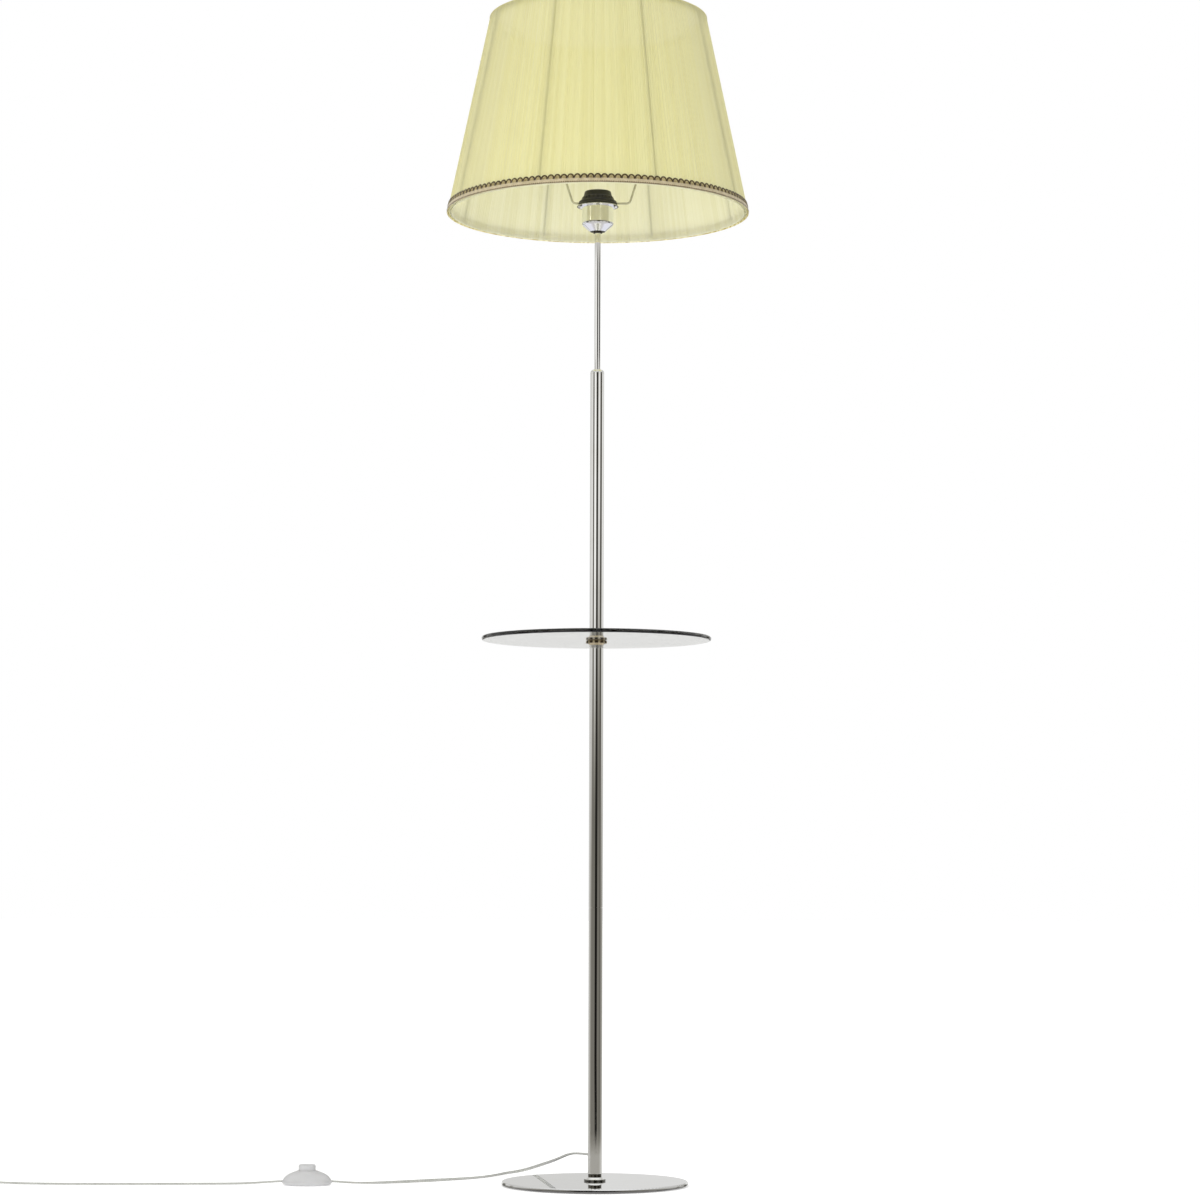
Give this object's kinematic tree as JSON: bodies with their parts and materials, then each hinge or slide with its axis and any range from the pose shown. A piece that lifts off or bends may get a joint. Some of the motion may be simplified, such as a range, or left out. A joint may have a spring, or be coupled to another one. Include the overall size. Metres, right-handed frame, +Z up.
{
  "type": "floor lamp with table",
  "caption": "Standing lamp with a chrome tube post, a round glass table part way up, a pleated cloth shade with braid, an empty screw lampholder and a cord with a foot switch.",
  "frame": {"origin": "middle of the base's underside, on the floor, below the post", "axes": "+Z up along the post, -X towards the foot switch and the cord's far end, +Y to the rear"},
  "size_m": [1.131, 0.4, 1.5323],
  "materials": {
    "felt": "soft dark pad",
    "chrome": "mirror polished",
    "steel": "zinc plated",
    "dark_plastic": "moulded, satin black",
    "clear_plastic": "clear soft plastic",
    "bronze": "turned, satin bronze",
    "table_glass": "clear, polished edge",
    "porcelain": "unglazed insulator",
    "brass": "stamped brass",
    "shade_wire": "thin white coating",
    "shade_cloth": "pleated translucent cloth",
    "braid": "woven braid with dark arcs",
    "switch_plastic": "milky translucent",
    "spring_steel": "drawn wire",
    "tie": "soft strap",
    "white_plastic": "moulded",
    "plated_pins": "nickel plated"
  },
  "bodies": {
    "lamp": {"floor_pad": "felt", "base_plate": "chrome", "foot_washer": "steel", "foot_nut": "steel", "foot_stud": "steel", "foot_flange": "chrome", "foot_ring": "dark_plastic", "foot_insert": "steel", "lower_tube": "chrome", "cord_bush": "clear_plastic", "seam_insert": "steel", "seam_spigot": "steel", "middle_tube": "chrome", "table_insert": "steel", "table_collar": "bronze", "lower_gasket": "clear_plastic", "glass_top": "table_glass", "upper_gasket": "clear_plastic", "table_stud": "steel", "upper_flange": "chrome", "upper_insert": "steel", "upper_tube": "chrome", "top_cap": "chrome", "stem_nut": "steel", "stem_rod": "chrome", "stem_locknut": "dark_plastic", "holder_cup": "chrome", "cup_nut": "steel", "contact_block": "porcelain", "terminal_screws": "brass", "screw_shell": "brass", "centre_contact": "brass", "saucer": "chrome", "holder_sleeve": "dark_plastic", "ring_nut": "dark_plastic", "inner_lead": "clear_plastic", "shade_bottom_ring": "shade_wire", "shade_top_ring": "shade_wire", "shade_ribs": "shade_wire", "shade_spider": "shade_wire", "shade_lining": "shade_cloth", "shade_cover": "shade_cloth", "shade_braid": "braid", "shade_binding": "shade_cloth", "cord_lead": "clear_plastic", "switch_base": "switch_plastic", "switch_cover": "switch_plastic", "button_spring": "spring_steel", "switch_mechanism": "switch_plastic", "switch_terminals": "brass", "switch_contacts": "brass", "case_screws": "steel", "cord_supply": "clear_plastic", "cord_coil": "clear_plastic", "coil_tie": "tie", "cord_tail": "clear_plastic", "plug_body": "white_plastic", "plug_pins": "plated_pins"},
    "push_button": {"foot_button": "switch_plastic"}
  },
  "joints": [
    {"name": "button_press", "type": "slide", "parent": "lamp", "child": "push_button", "axis": [0, 0, -1], "range_m": [0, 0.004], "stiffness_N_per_m": 300, "springref_m": -0.004, "deforming": ["button_spring"]}
  ]
}
